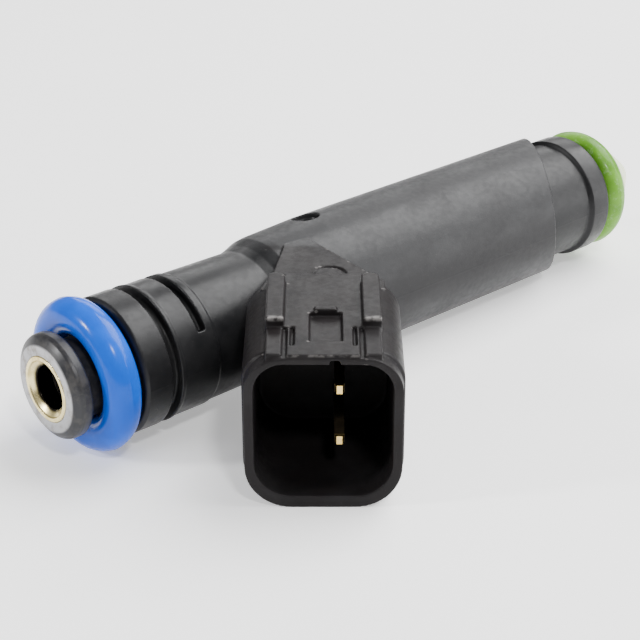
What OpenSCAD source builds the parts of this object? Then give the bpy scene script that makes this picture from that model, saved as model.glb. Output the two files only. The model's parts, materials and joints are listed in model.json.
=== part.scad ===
// Top-feed fuel injector with a two-pin connector, lying on its side.
// The injector's axis is X: the fuel inlet is at -X and the spray end at +X.
// The origin is on the axis, in the middle of the upper O-ring.
// +Z is up, and the connector leaves towards -Y, tilted back to the inlet.

/* [O-rings] */
// Outer diameter of the upper O-ring
upper_ring_od = 14.6; // [14.5:0.1:14.7]
// Section diameter of the upper O-ring
upper_ring_section = 3.52; // [3.46:0.02:3.56]
// Outer diameter of the lower O-ring
lower_ring_od = 12.8; // [12.6:0.1:13]
// Section diameter of the lower O-ring
lower_ring_section = 3.1; // [3.0:0.02:3.2]
// Distance between the two O-rings along the axis
ring_spacing = 66.3; // [66.1:0.1:66.5]

/* [Inlet tube] */
// Outer diameter of the collar at the mouth
collar_od = 9.94; // [9.6:0.02:10.2]
// Length of the collar
collar_len = 1.8; // [1.5:0.1:2]
// Inner diameter of the tube where the filter sits
inlet_bore = 6.2; // [6.1:0.02:6.3]

/* [Overmold] */
// Diameter of the inlet section
inlet_od = 13.1; // [12.8:0.1:13.3]
// Largest diameter of the coil section
coil_od = 14.4; // [14.2:0.1:14.5]
// Diameter at the far end of the long barrel
barrel_end_od = 14.3; // [14.2:0.1:14.4]
// Width of the first clip groove
groove_w = 1.06; // [0.8:0.02:1.2]
// Depth of the clip grooves
groove_depth = 0.85; // [0.5:0.05:1.1]
// Tilt of the slanted cut at the barrel's end, in degrees
relief_tilt = 32; // [22:1:34]

/* [Connector] */
// Angle between the connector and the line square to the axis
conn_tilt = 41.4; // [35:0.1:45]
// Distance from the injector's axis to the connector's mouth
conn_reach = 29.5; // [29:0.1:30]
// Width of the connector behind its front rim
conn_w = 13.9; // [13.7:0.1:14.1]
// Thickness of the connector's wall
conn_wall = 0.85; // [0.75:0.05:0.9]
// Depth of the socket
socket_depth = 13.5; // [12:0.5:13.5]
// Distance between the two terminals
terminal_pitch = 5; // [4.8:0.1:5.2]
// Width of a terminal blade
terminal_w = 0.9; // [0.8:0.1:1.2]
// Thickness of a terminal blade
terminal_t = 0.8; // [0.6:0.05:0.9]

/* [Valve] */
// Lift of the needle from closed to open
valve_lift = 0.1; // [0.06:0.01:0.15]
// Outer diameter of the armature
armature_od = 6.4; // [6.3:0.02:6.42]
// Diameter of the ball
ball_d = 2.5; // [2.4:0.02:2.52]
// Number of turns of the return spring
spring_turns = 8; // [6:1:10]
// Number of spray holes in the orifice plate
spray_holes = 4; // [2:1:6]

/* [Hidden] */
$fn = 96;
gap = 0.05;                  // play between parts that are pressed or slid together
eps = 0.01;                  // overlap that keeps cuts clean

// stations along the axis
mouth_x = -4.35;
groove_x = 4.88;
part_groove_x = 8.61;        // second groove, which runs only part of the way round
filter_lip_x = mouth_x + 0.75;
mesh_x = -0.15;
mesh_end_x = 4.55;
cage_floor_x = 5.6;          // closed end of the filter basket
filter_seat_x = 6.5;         // end of the wide bore that holds the filter
tube_end_x = 14;             // end of the inlet tube, start of the pole piece
adjuster_x = 17;
spring_x = 24.75;            // fixed end of the return spring
shoulder_x = 18.4;           // start of the step up to the coil section
pole_end_x = 30;
body_start_x = 34;           // start of the valve body
body_step_x = 38.4;          // its thicker part, outside the coil
guide_end_x = 40.5;
can_start_x = 24;
can_end_x = 40;
barrel_end_x = 61;
relief_x = 59.2;             // the slanted cut at the end crosses the axis here
relief_side = 81;            // turn of the slanted cut, towards the connector's side
retainer_x = 54.8;           // start of the retainer's neck, inside the barrel
neck_end_x = 61.5;
flange_x = 63.6;             // the valve body steps down here, inside the retainer
flange_end_x = 64.3;
nose_end_x = 70.6;
cap_start_x = 68.2;
cap_end_x = 73;
seat_x = 67.6;

// radii
seal_seat_r = upper_ring_od / 2 - upper_ring_section;
tube_r = seal_seat_r - gap;
collar_r = collar_od / 2;
bore_r = inlet_bore / 2;
filter_lip_r = 2.05;
filter_wall_r = 2.6;
cage_r = 2.55;               // filter basket, outside
cage_bore_r = 2.1;
spring_bore_r = 1.6;
fuel_bore_r = spring_bore_r + 0.4;
sleeve_r = 4.2;
can_r = 6.35;
can_inner_r = 5.95;
bobbin_r = 4.75;
bobbin_flange_r = 5.85;
body_r = 4.6;
guide_r = 3.9;
neck_r = 6;
flange_r = 6.4;
nose_r = lower_ring_od / 2 - lower_ring_section;
nose_bore_r = 2.4;
body_bore_r = 2.2;
needle_r = 1.15;
ball_r = ball_d / 2;
ball_x = seat_x - 0.3;
inlet_r = inlet_od / 2;
coil_r = coil_od / 2;
armature_x = pole_end_x + valve_lift + 0.02;
armature_end_x = 39.5;
spring_pocket = 3;           // depth of the spring's pocket in the armature
stem_x = 36;                 // start of the needle's stem, inside the armature
stem_bore_r = 0.75;
bobbin_x = 25.6;
bobbin_end_x = 37;
bobbin_flange = 0.8;
rest_z = -upper_ring_od / 2; // height of the surface that the injector lies on

// connector, in its own axes: x across it, y up, z out of its mouth
conn_root_x = 28.4;
conn_bottom = rest_z;
conn_top = 7.15;
conn_back_z = 14.4;
socket_bottom = rest_z + 1.15;
socket_top = 6.6;
rim_step = 0.18;             // the front rim is this much narrower on each side
rim_len = 1.6;
terminal_x = 1.4;
terminal_y = -0.3;
terminal_tip_z = conn_reach - 3.75;
terminal_start_z = 9.2;      // the blades start here, inside the connector's neck

module tube(x0, x1, ro, ri) {
    translate([x0, 0, 0]) rotate([0, 90, 0]) difference() {
        cylinder(r = ro, h = x1 - x0);
        translate([0, 0, -1]) cylinder(r = ri, h = x1 - x0 + 2);
    }
}
module rod(x0, x1, r) {
    translate([x0, 0, 0]) rotate([0, 90, 0]) cylinder(r = r, h = x1 - x0);
}
module cone(x0, x1, r0, r1) {
    translate([x0, 0, 0]) rotate([0, 90, 0]) cylinder(r1 = r0, r2 = r1, h = x1 - x0);
}
// turns an outline of [distance along the axis, radius] points about the axis
module turned(outline) {
    rotate([0, 90, 0]) rotate_extrude()
        polygon([for (p = outline) [p[1], p[0]]]);
}
module ring_seal(x, ring_r, section_r) {
    translate([x, 0, 0]) rotate([0, 90, 0]) rotate_extrude()
        translate([ring_r, 0]) circle(r = section_r, $fn = 48);
}
module in_connector() {
    translate([conn_root_x, 0, 0]) rotate([0, 0, -conn_tilt]) rotate([90, 0, 0]) children();
}
// rectangle with its own corner radius at the top and at the bottom
module shroud_outline(w, low, high, r_top, r_low) {
    translate([-w / 2, low + r_low]) square([w, high - low - r_top - r_low]);
    translate([-w / 2 + r_top, high - 2 * r_top]) square([w - 2 * r_top, 2 * r_top]);
    translate([-w / 2 + r_low, low]) square([w - 2 * r_low, 2 * r_low]);
    for (side = [-1, 1]) {
        translate([side * (w / 2 - r_top), high - r_top]) circle(r = r_top);
        translate([side * (w / 2 - r_low), low + r_low]) circle(r = r_low);
    }
}
module block(x0, x1, y0, y1, z0, z1) {
    translate([x0, y0, z0]) cube([x1 - x0, y1 - y0, z1 - z0]);
}

// steel tube with the rolled collar that holds the upper O-ring
module inlet_tube() {
    color("silver") difference() {
        union() {
            rod(mouth_x, tube_end_x, tube_r);
            rod(mouth_x + 0.75, mouth_x + collar_len, collar_r);
            rod(mouth_x, mouth_x + collar_len, collar_r - 0.75);
            ring_seal(mouth_x + 0.75, collar_r - 0.75, 0.75);
        }
        rod(mouth_x - 1, filter_seat_x, bore_r);
        rod(0, tube_end_x + 1, fuel_bore_r);
    }
}
// brass ring pressed in the mouth, which carries the filter basket
module filter_ring() {
    color("goldenrod") union() {
        tube(mouth_x - 0.05, filter_lip_x, bore_r, filter_lip_r);
        tube(filter_lip_x, mouth_x + 4.2, bore_r, filter_wall_r);
    }
}
// plastic frame of the filter basket: two hoops, four ribs and a closed end
module filter_cage() {
    color("ivory") union() {
        tube(-2, mesh_x - 0.05, cage_r, cage_bore_r);
        tube(mesh_end_x + 0.05, cage_floor_x, cage_r, cage_bore_r);
        rod(cage_floor_x, cage_floor_x + 0.6, cage_r);
        for (a = [45 : 90 : 315]) rotate([a, 0, 0])
            block(mesh_x - 0.25, mesh_end_x + 0.45, -0.3, 0.3, cage_bore_r + 0.02, cage_r - gap);
    }
}
// mesh sleeve inside the ribs of the basket
module filter_mesh() {
    color("gainsboro") tube(mesh_x, mesh_end_x, cage_bore_r - gap, cage_bore_r - 0.15);
}
// slotted tube that sets the preload of the return spring
module adjusting_tube() {
    color("darkgray") difference() {
        tube(adjuster_x, spring_x - 0.25, spring_bore_r, 0.9);
        block(adjuster_x - 1, spring_x, -0.25, 0.25, 0, spring_bore_r + 1);
    }
}
// fixed magnetic core that the armature is drawn against
module pole_piece() {
    color("gray") tube(tube_end_x, pole_end_x, tube_r, spring_bore_r + 0.01);
}
// thin stainless sleeve that joins the pole piece to the valve body
module nonmagnetic_sleeve() {
    color("lightgray") tube(bobbin_x, body_start_x, sleeve_r, tube_r + 0.02);
}
function helix_centre(i, steps, x0, x1, r) =
    let (a = 360 * spring_turns * i / steps) [x0 + (x1 - x0) * i / steps, r * cos(a), r * sin(a)];
// coil spring, its wire swept round a helix
module return_spring() {
    x0 = spring_x;
    x1 = armature_x + spring_pocket - 0.2;
    wire_r = 0.2;
    coil_r = 1.3;
    sides = 8;
    steps = spring_turns * 20;
    rings = [for (i = [0 : steps]) let (
            a = 360 * spring_turns * i / steps, c = helix_centre(i, steps, x0, x1, coil_r))
        for (k = [0 : sides - 1]) let (b = 360 * k / sides)
            c + wire_r * [sin(b), cos(b) * cos(a), cos(b) * sin(a)]];
    skin = [for (i = [0 : steps - 1]) for (k = [0 : sides - 1])
        [i * sides + k, i * sides + (k + 1) % sides,
            (i + 1) * sides + (k + 1) % sides, (i + 1) * sides + k]];
    near_end = [[for (k = [sides - 1 : -1 : 0]) k]];
    far_end = [[for (k = [0 : sides - 1]) steps * sides + k]];
    color("silver") polyhedron(points = rings, faces = concat(skin, near_end, far_end));
}
// moving magnetic core, with a pocket for the spring and fuel ways
module armature() {
    color("dimgray") difference() {
        rod(armature_x, armature_end_x, armature_od / 2);
        rod(armature_x - 1, armature_x + spring_pocket, spring_bore_r);
        rod(armature_x, stem_x + 1, stem_bore_r);
        rod(stem_x, armature_end_x + 1, needle_r);
        for (a = [0 : 90 : 270]) rotate([a, 0, 0])
            translate([0, 0, 2.35]) rod(stem_x + 0.5, armature_end_x + 1, 0.45);
    }
}
// hollow stem between the armature and the ball
module needle_tube() {
    stem_end_x = ball_x - sqrt(ball_r * ball_r - stem_bore_r * stem_bore_r);
    color("lightsteelblue") difference() {
        tube(stem_x, stem_end_x, needle_r, stem_bore_r);
        for (x = [42, 60]) translate([x, 0, -3]) cylinder(r = 0.4, h = 6);
    }
}
module valve_ball() {
    color("silver") translate([ball_x, 0, 0]) sphere(r = ball_r);
}
// steel barrel that carries the guides, the seat and the lower O-ring
module valve_body() {
    color("slategray") difference() {
        union() {
            rod(body_start_x, body_step_x, sleeve_r);
            rod(body_step_x, flange_x, body_r);
            rod(flange_x, nose_end_x, nose_r - gap);
        }
        rod(body_start_x - 1, guide_end_x, guide_r);
        rod(guide_end_x - 1, seat_x - 2, body_bore_r);
        rod(seat_x - 2, nose_end_x + 1, nose_bore_r);
    }
}
// ring whose thickness sets the lift
module lift_shim() {
    color("khaki") tube(body_start_x, body_start_x + 0.4, guide_r, 3.4);
}
module armature_guide() {
    color("silver") tube(body_start_x + 0.4, body_start_x + 3.4, guide_r, armature_od / 2 + gap);
}
// disc that guides the ball, with ways for the fuel around it
module ball_guide() {
    color("silver") difference() {
        tube(seat_x - 1.5, seat_x, nose_bore_r, ball_r + 0.03);
        for (a = [45 : 90 : 315]) rotate([a, 0, 0]) translate([0, 0, 1.85]) rod(60, 70, 0.3);
    }
}
// conical seat that the ball closes on
module valve_seat() {
    cone_r = ball_r * sqrt(2) + seat_x - ball_x;
    outlet_r = 0.4;
    mouth_r = ball_r * sqrt(2) - (seat_x - ball_x) + 0.01;
    color("silver") difference() {
        rod(seat_x, seat_x + 1.4, nose_bore_r);
        cone(seat_x - eps, seat_x + mouth_r - outlet_r, mouth_r + eps, outlet_r);
        rod(seat_x, seat_x + 2, outlet_r);
    }
}
// thin plate with the spray holes
module orifice_plate() {
    color("gainsboro") difference() {
        rod(seat_x + 1.4, seat_x + 1.65, nose_bore_r);
        for (i = [0 : spray_holes - 1]) rotate([360 * i / spray_holes, 0, 0])
            translate([0, 0, 0.22]) rod(seat_x + 1, seat_x + 2, 0.08);
    }
}
module plate_backup() {
    color("silver") tube(seat_x + 1.65, nose_end_x, nose_bore_r, 1.3);
}
// spool that carries the winding
module coil_bobbin() {
    color("tan") union() {
        tube(bobbin_x, bobbin_end_x, bobbin_r, sleeve_r + 0.02);
        tube(bobbin_x, bobbin_x + bobbin_flange, bobbin_flange_r, bobbin_r - 0.25);
        tube(bobbin_end_x - bobbin_flange, bobbin_end_x, bobbin_flange_r, bobbin_r - 0.25);
    }
}
module coil_winding() {
    color("peru") tube(bobbin_x + bobbin_flange + gap, bobbin_end_x - bobbin_flange - gap,
        bobbin_flange_r - 0.25, bobbin_r + 0.02);
}
// steel can that closes the magnetic circuit around the coil
module coil_housing() {
    color("gray") difference() {
        rod(can_start_x, can_end_x, can_r);
        rod(can_start_x - 1, body_step_x, can_inner_r);
        rod(body_step_x - 0.4, can_end_x + 1, body_r + 0.01);
        in_connector() block(terminal_x - 1.1, terminal_x + 1.1, -3.6, 3, 4, 10);
    }
}
module flux_washer() {
    color("gray") tube(can_start_x, 25.5, can_inner_r - 0.02, tube_r + 0.02);
}
module upper_coil_seal() {
    color("saddlebrown") ring_seal(23.35, tube_r + 0.52, 0.5);
}
module lower_coil_seal() {
    color("saddlebrown") ring_seal(37.7, sleeve_r + 0.52, 0.5);
}
// flat blade with a tapered tip, on the connector's own axes
module terminal(y) {
    tip = 0.5;
    tip_half = 0.25;
    in_connector() translate([terminal_x, y, 0]) union() {
        block(-terminal_w / 2, terminal_w / 2, -terminal_t / 2, terminal_t / 2,
            terminal_start_z, terminal_tip_z - tip);
        rotate([90, 0, 0]) translate([0, 0, -terminal_t / 2]) linear_extrude(terminal_t)
            polygon([[-terminal_w / 2, terminal_tip_z - tip - eps], [-tip_half, terminal_tip_z],
                [tip_half, terminal_tip_z], [terminal_w / 2, terminal_tip_z - tip - eps]]);
    }
}
module terminal_upper() {
    color("gold") terminal(terminal_y + terminal_pitch / 2);
}
module terminal_lower() {
    color("gold") terminal(terminal_y - terminal_pitch / 2);
}

// outside of the turned part of the cover
module overmold_barrel() {
    turned([[2, 0], [2, inlet_r - 0.3], [2.3, inlet_r], [6.2, inlet_r], [6.45, inlet_r - 0.1],
        [10.2, inlet_r - 0.1], [10.5, inlet_r - 0.25], [shoulder_x, inlet_r - 0.35],
        [shoulder_x + 1, inlet_r - 0.1], [shoulder_x + 2.2, coil_r - 0.34],
        [shoulder_x + 3, coil_r - 0.24], [27.5, coil_r], [33, coil_r],
        [barrel_end_x, barrel_end_od / 2], [barrel_end_x, 0]]);
}
// neck that widens from the coil section to the connector
module connector_neck() {
    in_connector() union() {
        translate([0, 6.85, 0]) rotate([90, 0, 0]) linear_extrude(11.2)
            polygon([[-2.6, 0], [-1.6, 3.8], [3.8, 11.3], [5.6, 13.6], [5.6, conn_back_z + 1],
                [-5.6, conn_back_z + 1], [-5.4, 14.2], [-4.65, 12.2], [-3.3, 3]]);
        translate([0, 0, conn_back_z - 1.2]) linear_extrude(1.4)
            shroud_outline(conn_w - 2.2, conn_bottom + 1.6, conn_top - 0.7, 2.6, 3.4);
    }
}
// shroud, latch rails, platform and pocket
module connector_shroud() {
    in_connector() difference() {
        union() {
            translate([0, 0, conn_back_z]) linear_extrude(conn_reach - rim_len - conn_back_z)
                shroud_outline(conn_w, conn_bottom, conn_top, 3, 4);
            translate([0, 0, conn_reach - rim_len - eps]) linear_extrude(rim_len + eps)
                shroud_outline(conn_w - 2 * rim_step, conn_bottom, conn_top, 3.3, 4);
            block(-3.05, 3.05, 6, 7.5, conn_back_z - 1, conn_reach - 0.1);
            block(-3.5, 3.5, 6, 7.5, conn_back_z - 1, conn_reach - 5.3);
            for (side = [-1, 1]) translate([side * 4.2, 0, 0]) union() {
                block(-0.8, 0.8, 5.4, 8.35, conn_back_z + 1.3, conn_reach - 5.3);
                translate([0, 8.35, conn_back_z + 1.3]) rotate([90, 0, 0])
                    cylinder(r = 0.8, h = 2.9);
                block(-0.7, 0.7, 5, 7.45, conn_reach - 5.4, conn_reach - 0.3);
            }
            block(-0.75, 1.15, 7, 7.75, conn_reach - 8.9, conn_reach - 8.15);
        }
        translate([0, 0, conn_reach - socket_depth]) linear_extrude(socket_depth + 1)
            shroud_outline(conn_w - 2 * rim_step - 2 * conn_wall, socket_bottom, socket_top,
                2.6, 3.2);
        block(-1.2, 1.6, 7.05, 9, conn_reach - 8.1, conn_reach - 2.6);
        for (side = [-1, 1])
            block(side * 2.65 - 0.18, side * 2.65 + 0.18, 7.1, 9, conn_reach - 5.4, conn_reach - 1.9);
        block(0.5, 1.4, 6, socket_top + 0.35, conn_reach - 2, conn_reach + 1);
    }
}
// part of a clip groove, from one angle about the axis to another
module part_groove(x0, x1, a0, a1) {
    translate([x0, 0, 0]) rotate([0, 90, 0]) difference() {
        rotate([0, 0, a0]) rotate_extrude(angle = a1 - a0)
            translate([inlet_r - 0.15 - groove_depth, 0]) square([3, x1 - x0]);
    }
}
// mark of an ejector pin on the neck, half of a thin ring
module pin_mark() {
    x = 0.55;
    z = 12.1;
    in_connector() difference() {
        translate([x, 6.65, z]) rotate([-90, 0, 0]) cylinder(r = 1.65, h = 1);
        translate([x, 6, z]) rotate([-90, 0, 0]) cylinder(r = 1.3, h = 2);
        block(x - 2, x + 2, 6, 8, z + 0.3, z + 3);
    }
}
// slanted cut at the end of the barrel that leaves the retainer's neck in view
module barrel_relief() {
    difference() {
        rotate([relief_side, 0, 0]) translate([relief_x, 0, 0]) rotate([0, -relief_tilt, 0])
            translate([0, -20, -20]) cube([20, 40, 40]);
        rod(can_end_x, barrel_end_x + 1, neck_r + 0.01);
    }
}
// one-piece plastic cover with the connector moulded on it
module overmold() {
    color([0.13, 0.13, 0.14]) difference() {
        union() {
            overmold_barrel();
            connector_neck();
            connector_shroud();
        }
        tube(groove_x, groove_x + groove_w, inlet_r + 2, inlet_r - groove_depth);
        part_groove(part_groove_x, part_groove_x + 0.89, 90, 238);
        // core-pin recess beside the connector's root
        rotate([-14, 0, 0]) translate([conn_root_x - 0.8, 0, coil_r - 0.7]) cylinder(r = 1.4, h = 4);
        pin_mark();
        rod(0, 23, tube_r + 0.01);
        rod(22.7, can_start_x, tube_r + 1.05);
        rod(can_start_x - eps, can_end_x, can_r + 0.01);
        rod(can_end_x - eps, 62, body_r + 0.01);
        rod(retainer_x - 0.1, 70, neck_r + 0.01);
        barrel_relief();
        for (y = [terminal_y - terminal_pitch / 2, terminal_y + terminal_pitch / 2])
            in_connector() block(terminal_x - terminal_w / 2 - eps, terminal_x + terminal_w / 2 + eps,
                y - terminal_t / 2 - eps, y + terminal_t / 2 + eps, terminal_start_z - eps, 20);
    }
}
module upper_o_ring() {
    color("dodgerblue") ring_seal(0, (upper_ring_od - upper_ring_section) / 2, upper_ring_section / 2);
}
module lower_o_ring() {
    color("yellowgreen")
        ring_seal(ring_spacing, (lower_ring_od - lower_ring_section) / 2, lower_ring_section / 2);
}
// plastic ring behind the lower O-ring, with a neck and a flange
module o_ring_retainer() {
    color([0.12, 0.12, 0.13]) difference() {
        turned([[retainer_x, 0], [retainer_x, neck_r], [neck_end_x, neck_r],
            [neck_end_x + 0.3, flange_r], [flange_end_x - 0.2, flange_r],
            [flange_end_x, flange_r - 0.2], [flange_end_x, 0]]);
        rod(retainer_x - 1, flange_x, body_r + 0.01);
        rod(retainer_x - 1, flange_end_x + 1, nose_r + 0.01);
    }
}
// conical plastic cap pressed over the nose, with the spray opening
module nozzle_cap() {
    color("beige") difference() {
        turned([[cap_start_x, 0], [cap_start_x, 4.2], [cap_start_x + 0.3, 4.5],
            [cap_start_x + 1.1, 4.3], [cap_end_x - 0.4, 1.7], [cap_end_x, 1.4], [cap_end_x, 0]]);
        rod(cap_start_x - 1, nose_end_x, nose_r - gap);
        rod(cap_start_x, cap_end_x + 1, 0.9);
    }
}

inlet_tube();
filter_ring();
filter_cage();
filter_mesh();
adjusting_tube();
pole_piece();
nonmagnetic_sleeve();
return_spring();
armature();
needle_tube();
valve_ball();
valve_body();
lift_shim();
armature_guide();
ball_guide();
valve_seat();
orifice_plate();
plate_backup();
coil_bobbin();
coil_winding();
coil_housing();
flux_washer();
upper_coil_seal();
lower_coil_seal();
terminal_upper();
terminal_lower();
overmold();
upper_o_ring();
lower_o_ring();
o_ring_retainer();
nozzle_cap();
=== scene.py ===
"""Looks of a top-feed fuel injector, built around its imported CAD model."""
import json
import math

import bmesh
import bpy
import numpy as np
from mathutils import Matrix, Vector


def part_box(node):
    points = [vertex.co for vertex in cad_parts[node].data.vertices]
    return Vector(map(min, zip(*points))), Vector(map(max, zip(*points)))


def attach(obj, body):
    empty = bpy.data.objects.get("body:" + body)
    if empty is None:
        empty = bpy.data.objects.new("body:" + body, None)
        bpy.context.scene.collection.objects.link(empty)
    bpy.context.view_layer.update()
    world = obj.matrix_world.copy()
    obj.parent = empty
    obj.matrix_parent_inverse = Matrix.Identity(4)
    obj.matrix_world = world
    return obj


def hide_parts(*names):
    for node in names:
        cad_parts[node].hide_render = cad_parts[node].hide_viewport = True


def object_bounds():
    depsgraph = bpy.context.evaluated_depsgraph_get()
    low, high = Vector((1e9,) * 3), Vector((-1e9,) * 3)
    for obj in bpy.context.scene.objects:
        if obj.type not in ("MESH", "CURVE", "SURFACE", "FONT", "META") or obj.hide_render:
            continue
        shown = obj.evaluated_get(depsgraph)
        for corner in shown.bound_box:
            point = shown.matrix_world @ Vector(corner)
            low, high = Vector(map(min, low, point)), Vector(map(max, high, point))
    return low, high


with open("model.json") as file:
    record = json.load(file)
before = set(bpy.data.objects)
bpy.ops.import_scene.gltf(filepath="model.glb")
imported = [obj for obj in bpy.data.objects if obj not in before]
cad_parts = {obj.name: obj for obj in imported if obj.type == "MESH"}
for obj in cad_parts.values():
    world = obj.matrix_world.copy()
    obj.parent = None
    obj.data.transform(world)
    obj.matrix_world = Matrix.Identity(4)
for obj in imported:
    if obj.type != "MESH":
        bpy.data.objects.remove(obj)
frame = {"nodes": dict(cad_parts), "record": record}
CAD_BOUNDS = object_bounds()
MM = 0.001

# the view: the camera looks at a point beside the connector's root
VIEW_AZIMUTH = -41.4
VIEW_ELEVATION = 26.6
VIEW_DISTANCE = 160 * MM
VIEW_TARGET = Vector((16.2, -13.4, 5.1)) * MM
LENS_MM = 101.25
SENSOR_MM = 36.0

# the connector leaves the axis at this point and this angle
CONN_TILT = 41.4
CONN_ROOT_X = 28.4 * MM
TERMINAL_TIP = 25.75 * MM
# front and top of its side rails and of the lip of its platform
RAIL_END, RAIL_TOP = 24.2 * MM, 8.35 * MM
LIP_END, LIP_TOP = 29.4 * MM, 7.5 * MM

# outline of the turned part of the cover: distance along the axis, radius
BARREL_OUTLINE = [(x * MM, r * MM) for x, r in (
    (2.3, 6.55), (6.2, 6.55), (6.45, 6.45), (10.2, 6.45), (10.5, 6.3), (18.4, 6.2), (19.4, 6.45),
    (20.6, 6.86), (21.4, 6.96), (27.5, 7.2), (33, 7.2), (61.4, 7.15))]


# ---------------------------------------------------------------- mesh helpers

def new_object(name, mesh):
    piece = bpy.data.objects.new(name, mesh)
    bpy.context.scene.collection.objects.link(piece)
    return piece


def shade_smooth(mesh, limit_deg=None):
    """Smooth shading, with edges sharper than the limit kept crisp."""
    mesh.polygons.foreach_set("use_smooth", [True] * len(mesh.polygons))
    if limit_deg is not None:
        mesh.set_sharp_from_angle(angle=math.radians(limit_deg))


def rounded(corners, steps=6):
    """Closed outline of (x, r) points from (x, r, fillet) corners, each fillet a true arc."""
    outline = []
    count = len(corners)
    for i, (x, r, fillet) in enumerate(corners):
        here = Vector((x, r))
        if fillet <= 0:
            outline.append(here)
            continue
        back = (Vector(corners[i - 1][:2]) - here).normalized()
        ahead = (Vector(corners[(i + 1) % count][:2]) - here).normalized()
        half = math.acos(max(-1, min(1, back.dot(ahead)))) / 2
        reach = fillet / math.tan(half)
        centre = here + (back + ahead).normalized() * (fillet / math.sin(half))
        first = here + back * reach - centre
        turn = first.angle_signed(here + ahead * reach - centre)
        for k in range(steps + 1):
            a = -turn * k / steps
            spoke = Vector((first.x * math.cos(a) - first.y * math.sin(a),
                            first.x * math.sin(a) + first.y * math.cos(a)))
            outline.append(centre + spoke)
    return outline


def lathe(name, outline, segments=192):
    """Closed surface from an outline of (x, r) points in metres, turned about the X axis."""
    bm = bmesh.new()
    rings = []
    for x, r in outline:
        rings.append([bm.verts.new((x, r * math.cos(a), r * math.sin(a)))
                      for a in (2 * math.pi * k / segments for k in range(segments))])
    for i, ring in enumerate(rings):
        following = rings[(i + 1) % len(rings)]
        for k in range(segments):
            n = (k + 1) % segments
            bm.faces.new((ring[k], ring[n], following[n], following[k]))
    bmesh.ops.recalc_face_normals(bm, faces=bm.faces)
    mesh = bpy.data.meshes.new(name)
    bm.to_mesh(mesh)
    bm.free()
    shade_smooth(mesh, 35)
    return new_object(name, mesh)


# ------------------------------------------------------------ material helpers

class Graph:
    """Short calls for building one material's nodes."""

    def __init__(self, name, **sockets):
        self.material = bpy.data.materials.new(name)
        self.material.use_nodes = True
        self.nodes = self.material.node_tree.nodes
        self.links = self.material.node_tree.links
        self.shader = self.nodes["Principled BSDF"]
        self.coords = self.nodes.new("ShaderNodeTexCoord").outputs["Object"]
        for socket, value in sockets.items():
            self.set(socket.replace("_", " "), value)

    def set(self, socket, value):
        target = self.shader.inputs[socket]
        if isinstance(value, bpy.types.NodeSocket):
            self.links.new(value, target)
        else:
            target.default_value = value

    def put(self, node, socket, value):
        if value is None:
            return
        if isinstance(value, bpy.types.NodeSocket):
            self.links.new(value, node.inputs[socket])
        else:
            node.inputs[socket].default_value = value

    def stretched(self, scale):
        node = self.nodes.new("ShaderNodeMapping")
        self.put(node, "Vector", self.coords)
        node.inputs["Scale"].default_value = scale
        return node.outputs[0]

    def noise(self, per_mm, detail=3, rough=0.5, vector=None, distortion=0):
        node = self.nodes.new("ShaderNodeTexNoise")
        self.put(node, "Vector", vector or self.coords)
        node.inputs["Scale"].default_value = per_mm / MM
        node.inputs["Detail"].default_value = detail
        node.inputs["Roughness"].default_value = rough
        node.inputs["Distortion"].default_value = distortion
        return node.outputs["Fac"]

    def axis(self, name):
        node = self.nodes.new("ShaderNodeSeparateXYZ")
        self.put(node, 0, self.coords)
        return node.outputs[name]

    def radius(self):
        """Distance from the injector's axis."""
        squares = [self.math("POWER", self.axis(name), 2.0) for name in "YZ"]
        return self.math("SQRT", self.math("ADD", *squares))

    def math(self, operation, a, b=None):
        node = self.nodes.new("ShaderNodeMath")
        node.operation = operation
        for i, value in enumerate((a, b)):
            self.put(node, i, value)
        return node.outputs[0]

    def ramp(self, value, low, high, to_low=0.0, to_high=1.0):
        node = self.nodes.new("ShaderNodeMapRange")
        node.interpolation_type = "SMOOTHSTEP"
        for socket, v in (("Value", value), ("From Min", low), ("From Max", high),
                          ("To Min", to_low), ("To Max", to_high)):
            self.put(node, socket, v)
        return node.outputs[0]

    def mix(self, factor, a, b):
        node = self.nodes.new("ShaderNodeMix")
        node.data_type = "RGBA"
        self.put(node, "Factor", factor)
        for socket, value in (("A", a), ("B", b)):
            target = [s for s in node.inputs if s.name == socket and s.type == "RGBA"][0]
            if isinstance(value, bpy.types.NodeSocket):
                self.links.new(value, target)
            else:
                target.default_value = (*value, 1)
        return [s for s in node.outputs if s.type == "RGBA"][0]

    def edge_wear(self, low, high):
        """1 on edges that stand out, from the mesh's own curvature."""
        node = self.nodes.new("ShaderNodeNewGeometry")
        return self.ramp(node.outputs["Pointiness"], low, high)

    def bump(self, height, depth_mm, strength=1.0, under=None):
        node = self.nodes.new("ShaderNodeBump")
        self.put(node, "Height", height)
        node.inputs["Strength"].default_value = strength
        node.inputs["Distance"].default_value = depth_mm * MM
        if under is not None:
            self.links.new(under, node.inputs["Normal"])
        return node.outputs[0]


def connector_reach(g):
    """Distance from the axis towards the connector's mouth, as a node value."""
    tilt = math.radians(CONN_TILT)
    along = g.math("ADD", g.math("MULTIPLY", g.axis("X"), -math.sin(tilt)),
                   g.math("MULTIPLY", g.axis("Y"), -math.cos(tilt)))
    return g.math("ADD", along, CONN_ROOT_X * math.sin(tilt))


def dress(piece, material):
    piece.data.materials.clear()
    piece.data.materials.append(material)


# ------------------------------------------------------------------- materials

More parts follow.
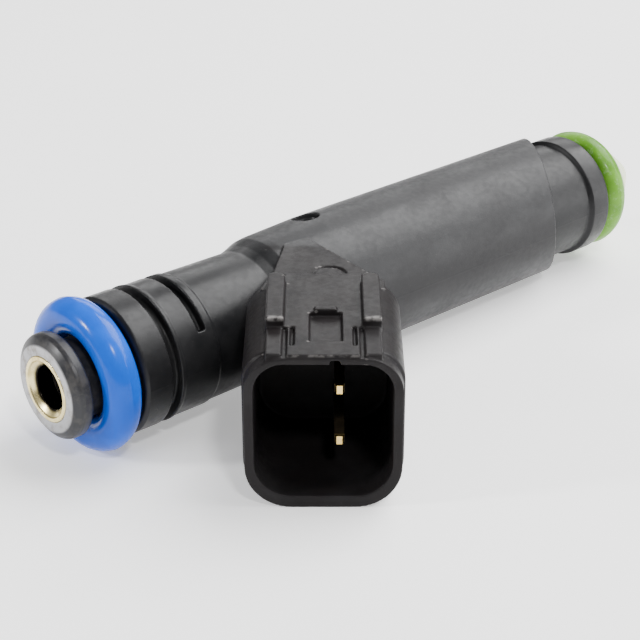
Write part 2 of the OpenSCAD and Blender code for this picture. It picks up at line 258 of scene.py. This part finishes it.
def plastic_tone(g, barrel, warm, blotch):
    """Grey barrel painted lighter (painted light from the floor) and blacker narrow ends (painted
    shade), a warmer connector, with the flow of the melt.
    """
    flow = g.noise(0.5, detail=4, vector=g.stretched((0.25, 1.0, 1.0)), distortion=0.6)
    specks = g.ramp(g.noise(7.5, detail=2), 0.68, 0.75)
    # painted light and painted shade: the barrel's base is lighter, the narrow ends blacker
    base = g.mix(barrel, (0.006, 0.0062, 0.007), (0.0150, 0.0152, 0.0165))
    base = g.mix(warm, base, (0.0100, 0.0084, 0.0086))
    base = g.mix(g.ramp(blotch, 0.4, 0.72, 0.0, 0.5), base, (0.022, 0.0215, 0.0225))
    base = g.mix(g.ramp(flow, 0.4, 0.7, 0.0, 0.35), base, (0.008, 0.008, 0.009))
    return g.mix(g.math("MULTIPLY", specks, 0.3), base, (0.07, 0.066, 0.062))


def plastic_wear_and_glints(g, base, warm, reach, height):
    """Lighter top edges of the connector, rail ends and platform lip: partly rubbed wear and scuffs
    where the plug slides on, partly painted highlights where light catches them.
    """
    rubbed = g.ramp(g.noise(0.9, detail=5, rough=0.65), 0.38, 0.62, 0.25, 1.0)
    # top edges lightened: partly wear, partly painted highlight
    wear_and_glint = g.math("MULTIPLY", g.edge_wear(0.56, 0.62), rubbed)
    wear_and_glint = g.math("MULTIPLY", wear_and_glint, g.ramp(height, 5.8 * MM, 6.6 * MM, 0.0, 0.6))
    base = g.mix(g.math("MULTIPLY", wear_and_glint, warm), base, (0.17, 0.16, 0.155))
    # rail ends and lip lightened: partly scuffs, partly painted glints
    rail_ends = g.math("MULTIPLY", g.ramp(reach, RAIL_END - 0.6 * MM, RAIL_END - 0.1 * MM),
                       g.ramp(height, RAIL_TOP - 0.45 * MM, RAIL_TOP - 0.1 * MM))
    lip = g.math("MULTIPLY", g.ramp(reach, LIP_END - 0.15 * MM, LIP_END),
                 g.ramp(height, LIP_TOP - 0.3 * MM, LIP_TOP - 0.05 * MM, 0.0, 0.45))
    patchy = g.ramp(g.noise(1.3, detail=4), 0.40, 0.58, 0.0, 0.8)
    glints_and_scuffs = g.math("MULTIPLY", g.math("MAXIMUM", rail_ends, lip), patchy)
    return g.mix(glints_and_scuffs, base, (0.19, 0.18, 0.175))


def plastic_surface(g):
    """Moulded grain over a faint peel, with the mould's parting line at mid height."""
    peel = g.noise(1.7, detail=3, rough=0.55)
    seam = g.ramp(g.math("ABSOLUTE", g.axis("Z")), 0.02 * MM, 0.14 * MM, 1.0, 0.0)
    low = g.bump(g.noise(8, detail=4, rough=0.6), 0.012, 0.45)
    low = g.bump(peel, 0.02, 0.35, under=low)
    g.set("Normal", g.bump(seam, 0.02, 0.35, under=low))
    return peel


def black_plastic():
    g = Graph("black_plastic", IOR=1.45)
    reach, height = connector_reach(g), g.axis("Z")
    neck = g.math("MULTIPLY", g.ramp(reach, 5.2 * MM, 6.5 * MM), g.ramp(height, 6.5 * MM, 6.8 * MM))
    warm = g.math("MAXIMUM", g.ramp(g.axis("Y"), -9 * MM, -6 * MM, 1.0, 0.0), neck)
    # this mask also paints the barrel lighter than the narrow ends: painted light and painted shade
    barrel = g.ramp(g.radius(), 6.5 * MM, 7.0 * MM)
    blotch = g.noise(0.2, detail=4)
    base = plastic_tone(g, barrel, warm, blotch)
    g.set("Base Color", plastic_wear_and_glints(g, base, warm, reach, height))
    peel = plastic_surface(g)
    rough = g.math("ADD", g.ramp(blotch, 0.3, 0.75, 0.36, 0.50), g.ramp(peel, 0.3, 0.7, -0.04, 0.06))
    g.set("Roughness", g.math("ADD", rough, g.ramp(barrel, 0.0, 1.0, -0.05, 0.0)))
    g.set("Specular IOR Level", g.ramp(warm, 0.0, 1.0, 0.28, 0.13))
    return g.material


def steel(name, color, rough, turned_marks=True):
    g = Graph(name, Metallic=1.0)
    marks = g.noise(7, detail=3, vector=g.stretched((1.0, 0.02, 0.02)))
    spots = g.noise(1.1, detail=5, rough=0.65)
    tarnish = g.ramp(g.noise(0.35, detail=4), 0.45, 0.75)
    dark = tuple(c * 0.62 for c in color)
    base = g.mix(g.math("MULTIPLY", tarnish, 0.55), color, dark)
    base = g.mix(g.ramp(spots, 0.62, 0.72, 0.0, 0.45), base, (0.20, 0.17, 0.14))
    g.set("Base Color", base)
    g.set("Roughness", g.math("ADD", g.ramp(spots, 0.3, 0.7, rough, rough + 0.14),
                              g.ramp(marks, 0.3, 0.7, -0.04, 0.06)))
    g.set("Normal", g.bump(marks if turned_marks else spots, 0.006, 0.35))
    return g.material


def tube_steel():
    """Phosphated dark steel, bare and bright only on the faced end of the collar."""
    g = Graph("tube_steel")
    marks = g.noise(5, detail=3, vector=g.stretched((1.0, 0.06, 0.06)))
    spots = g.noise(1.1, detail=5, rough=0.65)
    inside = g.ramp(g.radius(), 4.0 * MM, 4.2 * MM, 1.0, 0.0)
    faced = g.math("MULTIPLY", inside, g.ramp(g.axis("X"), -4.1 * MM, -3.9 * MM, 1.0, 0.0))
    coat = g.mix(g.ramp(spots, 0.42, 0.66), (0.018, 0.018, 0.021), (0.038, 0.036, 0.035))
    bare = g.mix(g.ramp(spots, 0.45, 0.7), (0.36, 0.36, 0.37), (0.24, 0.225, 0.21))
    g.set("Base Color", g.mix(faced, coat, bare))
    g.set("Metallic", g.ramp(faced, 0.0, 1.0, 0.1, 0.9))
    g.set("Specular IOR Level", 0.35)
    g.set("Roughness", g.math("ADD", g.ramp(spots, 0.3, 0.7, 0.34, 0.46),
                              g.ramp(marks, 0.3, 0.7, -0.05, 0.05)))
    g.set("Normal", g.bump(marks, 0.008, 0.4))
    return g.material


def brass():
    g = Graph("brass", Metallic=1.0)
    marks = g.noise(8, detail=2, vector=g.stretched((1.0, 0.05, 0.05)))
    stain = g.noise(0.9, detail=4)
    base = g.mix(g.ramp(stain, 0.45, 0.75), (0.80, 0.68, 0.34), (0.58, 0.46, 0.20))
    # the bore behind the bright rim is painted near black: painted shade down the hole
    bore_shade = g.math("MAXIMUM", g.ramp(g.radius(), 2.12 * MM, 2.42 * MM, 1.0, 0.0),
                     g.ramp(g.axis("X"), -3.75 * MM, -3.62 * MM))
    base = g.mix(bore_shade, base, (0.012, 0.010, 0.008))
    g.set("Base Color", base)
    g.set("Roughness", g.ramp(stain, 0.3, 0.8, 0.22, 0.42))
    g.set("Normal", g.bump(marks, 0.005, 0.3))
    return g.material


def rubber(name, color, shade, rough, coat, pale_film=0.0):
    g = Graph(name)
    pores = g.noise(6, detail=3)
    cloud = g.noise(0.3, detail=3)
    base = g.mix(g.ramp(cloud, 0.35, 0.7), color, shade)
    # pale patches mixed over the base colour
    film = g.math("MULTIPLY", g.ramp(g.noise(1.6, detail=5, rough=0.7), 0.5, 0.75), pale_film)
    base = g.mix(film, base, (0.55, 0.6, 0.55))
    g.set("Base Color", base)
    g.set("Roughness", g.ramp(cloud, 0.3, 0.75, rough, rough + 0.1))
    g.set("Specular IOR Level", 0.18)
    g.set("Coat Weight", coat)
    g.set("Coat Roughness", 0.12)
    g.set("Normal", g.bump(pores, 0.006, 0.25))
    return g.material


def pale_plastic(name, color, shade):
    g = Graph(name, Subsurface_Weight=0.15)
    cloud = g.noise(0.4, detail=4)
    grain = g.noise(7, detail=3)
    g.set("Base Color", g.mix(g.ramp(cloud, 0.35, 0.7), color, shade))
    g.set("Roughness", g.ramp(grain, 0.3, 0.7, 0.42, 0.58))
    g.set("Subsurface Radius", (0.6 * MM, 0.5 * MM, 0.3 * MM))
    g.set("Normal", g.bump(grain, 0.008, 0.3))
    return g.material


def gold_contact():
    """Blade painted near black as painted shade inside the socket, gold plated only at its tip."""
    g = Graph("gold_contact")
    rub = g.noise(2.2, detail=4)
    plated = g.ramp(connector_reach(g), TERMINAL_TIP - 0.5 * MM, TERMINAL_TIP - 0.25 * MM)
    # painted shade: the blade behind the tip is near black
    blade_shade = g.mix(g.ramp(rub, 0.4, 0.65), (0.022, 0.016, 0.009), (0.040, 0.029, 0.016))
    gold = g.mix(g.ramp(rub, 0.45, 0.7), (0.78, 0.56, 0.20), (0.62, 0.45, 0.18))
    g.set("Base Color", g.mix(plated, blade_shade, gold))
    g.set("Metallic", g.ramp(plated, 0.0, 1.0, 0.3, 1.0))
    g.set("Roughness", g.ramp(plated, 0.0, 1.0, 0.5, 0.3))
    g.set("Normal", g.bump(rub, 0.002, 0.2))
    return g.material


def copper_winding():
    g = Graph("copper_winding", Metallic=0.85)
    turns = g.nodes.new("ShaderNodeTexWave")
    turns.bands_direction = "X"
    turns.inputs["Scale"].default_value = 0.9 / MM
    g.links.new(g.coords, turns.inputs["Vector"])
    stain = g.noise(0.8, detail=3)
    g.set("Base Color", g.mix(g.ramp(stain, 0.4, 0.7), (0.62, 0.29, 0.12), (0.42, 0.18, 0.08)))
    g.set("Roughness", g.ramp(stain, 0.3, 0.7, 0.3, 0.45))
    g.set("Normal", g.bump(turns.outputs["Fac"], 0.05, 0.6))
    return g.material


MATERIALS = {
    "tube_steel": tube_steel(),
    "filter_brass": brass(),
    # the filter cage deep in the bore is near black: painted shade
    "filter_plastic": pale_plastic("filter_plastic", (0.045, 0.04, 0.035), (0.08, 0.07, 0.06)),
    "inner_steel": steel("inner_steel", (0.55, 0.56, 0.58), 0.3),
    "spring_steel": steel("spring_steel", (0.6, 0.6, 0.62), 0.22, turned_marks=False),
    "can_steel": steel("can_steel", (0.22, 0.22, 0.24), 0.42),
    "bobbin_plastic": pale_plastic("bobbin_plastic", (0.36, 0.26, 0.15), (0.30, 0.20, 0.11)),
    "copper_wire": copper_winding(),
    "brown_rubber": rubber("brown_rubber", (0.10, 0.045, 0.02), (0.07, 0.03, 0.015), 0.35, 0.1),
    "gold_contact": gold_contact(),
    "black_plastic": black_plastic(),
    "blue_rubber": rubber("blue_rubber", (0.0, 0.075, 0.52), (0.0, 0.095, 0.62), 0.14, 0.0),
    "green_rubber": rubber("green_rubber", (0.07, 0.20, 0.010), (0.13, 0.31, 0.03), 0.32, 0.1, 0.2),
    "cap_plastic": pale_plastic("cap_plastic", (0.56, 0.62, 0.40), (0.66, 0.70, 0.52)),
}
SLOT_OF = {s["node"]: s["material_slot"] for s in frame["record"]["subparts"]}


# ---------------------------------------------------------------------- pieces

def take_place(piece, node):
    """The piece stands for the CAD node, on the node's body and with its finish."""
    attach(piece, "injector_body")
    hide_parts(node)
    dress(piece, MATERIALS[SLOT_OF[node]])


def true_barrel(mesh):
    """Puts the points of the turned part back on its exact outline, without facets."""
    snap_within = 0.12 * MM
    outline_x, outline_r = zip(*BARREL_OUTLINE)
    co = np.empty(len(mesh.vertices) * 3, dtype=np.float32)
    mesh.vertices.foreach_get("co", co)
    co = co.reshape(-1, 3)
    radius = np.hypot(co[:, 1], co[:, 2])
    wanted = np.interp(co[:, 0], outline_x, outline_r)
    off = np.clip(np.abs(radius - wanted) / snap_within, 0, 1)
    near = 1 - off * off * (3 - 2 * off)
    near[(co[:, 0] < outline_x[0]) | (co[:, 0] > outline_x[-1])] = 0
    factor = 1 + near * (wanted / np.maximum(radius, MM) - 1)
    co[:, 1:] *= factor[:, None]
    mesh.vertices.foreach_set("co", co.ravel())
    mesh.update()


def apply_modifiers(piece):
    graph = bpy.context.evaluated_depsgraph_get()
    mesh = bpy.data.meshes.new_from_object(piece.evaluated_get(graph))
    piece.modifiers.clear()
    piece.data = mesh


def cover():
    """The moulded cover, with the small radii that a mould leaves on every edge."""
    mesh = frame["nodes"]["overmold"].data.copy()
    piece = new_object("cover_moulding", mesh)
    # the remesh's grid lies along the connector, so its straight edges stay straight
    turn = Matrix.Rotation(math.radians(CONN_TILT), 4, "Z")
    mesh.transform(turn)
    remesh = piece.modifiers.new("remesh", "REMESH")
    remesh.mode = "VOXEL"
    remesh.voxel_size = 0.11 * MM
    smooth = piece.modifiers.new("soften", "SMOOTH")
    smooth.factor = 0.5
    smooth.iterations = 3
    apply_modifiers(piece)
    piece.data.transform(turn.inverted())
    true_barrel(piece.data)
    shade_smooth(piece.data)
    take_place(piece, "overmold")


def inlet_tube():
    low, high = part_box("inlet_tube")
    mouth, collar_len, neck = 3.1 * MM, 1.8 * MM, 3.72 * MM
    bore, mouth_end = 2.0 * MM, 6.5 * MM
    face_r = high.z - 0.95 * MM
    outline = rounded([
        (low.x, mouth, 0.1 * MM), (low.x, face_r, 0.15 * MM),
        (low.x + 0.55 * MM, high.z - 0.12 * MM, 0.5 * MM), (low.x + 0.9 * MM, high.z, 0.2 * MM),
        (low.x + collar_len, high.z, 0.3 * MM), (low.x + collar_len, neck, 0.25 * MM),
        (high.x, neck, 0), (high.x, bore, 0), (mouth_end, bore, 0), (mouth_end, mouth, 0)])
    take_place(lathe("inlet_tube_turned", outline), "inlet_tube")


def filter_ring():
    """Drawn brass ring: a bright raised rim, then a bevel down to the hole."""
    low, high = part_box("filter_ring")
    hole, cavity, rim = 2.05 * MM, 2.6 * MM, 2.72 * MM
    lip_end = low.x + 0.8 * MM
    outline = rounded([
        (low.x + 0.55 * MM, hole, 0.1 * MM), (low.x + 0.15 * MM, rim - 0.1 * MM, 0.1 * MM),
        (low.x, rim, 0.04 * MM), (low.x, high.z, 0.1 * MM), (high.x, high.z, 0.05 * MM),
        (high.x, cavity, 0), (lip_end, cavity, 0), (lip_end, hole, 0.05 * MM)])
    take_place(lathe("filter_ring_drawn", outline), "filter_ring")


def o_ring(node, name):
    """A moulded ring, slightly flattened, with the fine flash line of its mould."""
    low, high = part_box(node)
    section = (high.x - low.x) / 2
    centre_x, centre_r = (low.x + high.x) / 2, high.z - section
    flash, flash_half_width, flattening = 0.03 * MM, 0.05, 0.02
    outline = []
    steps = 64
    for k in range(steps):
        a = 2 * math.pi * k / steps
        ridge = flash * math.exp(-(math.sin(a) / flash_half_width) ** 2) if math.cos(a) > 0 else 0
        r = section * (1 - flattening * math.sin(a) ** 2) - flash + ridge
        outline.append(Vector((centre_x + r * math.sin(a), centre_r + r * math.cos(a))))
    take_place(lathe(name, outline, segments=256), node)


def retainer():
    low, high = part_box("o_ring_retainer")
    neck, bore, nose = 6.0 * MM, 4.61 * MM, 3.31 * MM
    step_x, neck_end = 63.6 * MM, 61.5 * MM
    outline = rounded([
        (low.x, bore, 0), (low.x, neck, 0.1 * MM), (neck_end, neck - 0.05 * MM, 0.25 * MM),
        (neck_end + 0.3 * MM, high.z, 0.22 * MM), (high.x, high.z, 0.35 * MM),
        (high.x, nose, 0.1 * MM), (step_x, nose, 0), (step_x, bore, 0)])
    take_place(lathe("retainer_moulded", outline), "o_ring_retainer")


def nozzle_cap():
    low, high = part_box("nozzle_cap")
    nose, hole, nose_end = 3.25 * MM, 0.9 * MM, 70.6 * MM
    tip = 1.4 * MM
    outline = rounded([
        (low.x, nose, 0.05 * MM), (low.x, high.z - 0.3 * MM, 0.15 * MM),
        (low.x + 0.3 * MM, high.z, 0.2 * MM), (low.x + 1.1 * MM, high.z - 0.2 * MM, 0.5 * MM),
        (high.x - 0.4 * MM, tip + 0.35 * MM, 0.35 * MM), (high.x, tip, 0.12 * MM),
        (high.x, hole, 0.1 * MM), (nose_end, hole, 0), (nose_end, nose, 0)])
    take_place(lathe("nozzle_cap_moulded", outline), "nozzle_cap")


def carried_over():
    """CAD nodes that show as they are, with their material; the terminals get a fine edge radius."""
    for name, node in frame["nodes"].items():
        dress(node, MATERIALS[SLOT_OF[name]])
        shade_smooth(node.data, 35)
        if name.startswith("terminal"):
            edge = node.modifiers.new("edge", "BEVEL")
            edge.width = 0.14 * MM
            edge.segments = 3


# ----------------------------------------------------------------------- stage

def stage():
    floor_z, half = CAD_BOUNDS[0].z, 2.0
    mesh = bpy.data.meshes.new("floor")
    mesh.from_pydata([(-half, -half, floor_z), (half, -half, floor_z),
                      (half, half, floor_z), (-half, half, floor_z)], [], [(0, 1, 2, 3)])
    floor = new_object("floor", mesh)
    # a pale sweep, faintly lit from below like a light table
    g = Graph("floor", Roughness=0.7, Emission_Strength=0.45)
    g.set("Emission Color", (1, 1, 1, 1))
    g.set("Base Color", g.mix(g.noise(0.05, detail=2), (0.86, 0.86, 0.86), (0.90, 0.90, 0.90)))
    dress(floor, g.material)


def direction(azimuth, elevation):
    """Unit vector, with azimuth 0 on the side the connector points to."""
    a, e = math.radians(azimuth), math.radians(elevation)
    return Vector((math.sin(a) * math.cos(e), -math.cos(a) * math.cos(e), math.sin(e)))


def area_light(name, azimuth, elevation, distance, size, watts, size_y=None):
    data = bpy.data.lights.new(name, "AREA")
    data.shape = "RECTANGLE"
    data.size, data.size_y = size, size_y or size
    data.energy = watts
    light = bpy.data.objects.new(name, data)
    away = direction(azimuth, elevation)
    light.location = VIEW_TARGET + away * distance
    light.rotation_euler = away.to_track_quat("Z", "Y").to_euler()
    bpy.context.scene.collection.objects.link(light)


def lights():
    world = bpy.data.worlds.new("studio")
    bpy.context.scene.world = world
    world.use_nodes = True
    background = world.node_tree.nodes["Background"]
    background.inputs["Color"].default_value = (1, 1, 1, 1)
    background.inputs["Strength"].default_value = 0.3
    area_light("key", 80, 52, 0.55, 0.5, 8)
    area_light("back", 139, 26, 0.6, 0.4, 1.0, size_y=0.2)
    area_light("left", -118, 27, 0.5, 0.06, 1.6)
    area_light("front", -23, 49, 0.5, 0.05, 1.2)
    area_light("fill", 45, 12, 0.5, 0.3, 1.8)


def camera():
    data = bpy.data.cameras.new("camera")
    data.lens, data.sensor_width = LENS_MM, SENSOR_MM
    data.clip_start, data.clip_end = 0.005, 10
    cam = bpy.data.objects.new("camera", data)
    away = direction(VIEW_AZIMUTH, VIEW_ELEVATION)
    cam.location = VIEW_TARGET + away * VIEW_DISTANCE
    cam.rotation_euler = away.to_track_quat("Z", "Y").to_euler()
    bpy.context.scene.collection.objects.link(cam)
    bpy.context.scene.camera = cam


camera()
stage()
lights()
carried_over()
cover()
inlet_tube()
filter_ring()
o_ring("upper_o_ring", "upper_o_ring_moulded")
o_ring("lower_o_ring", "lower_o_ring_moulded")
retainer()
nozzle_cap()
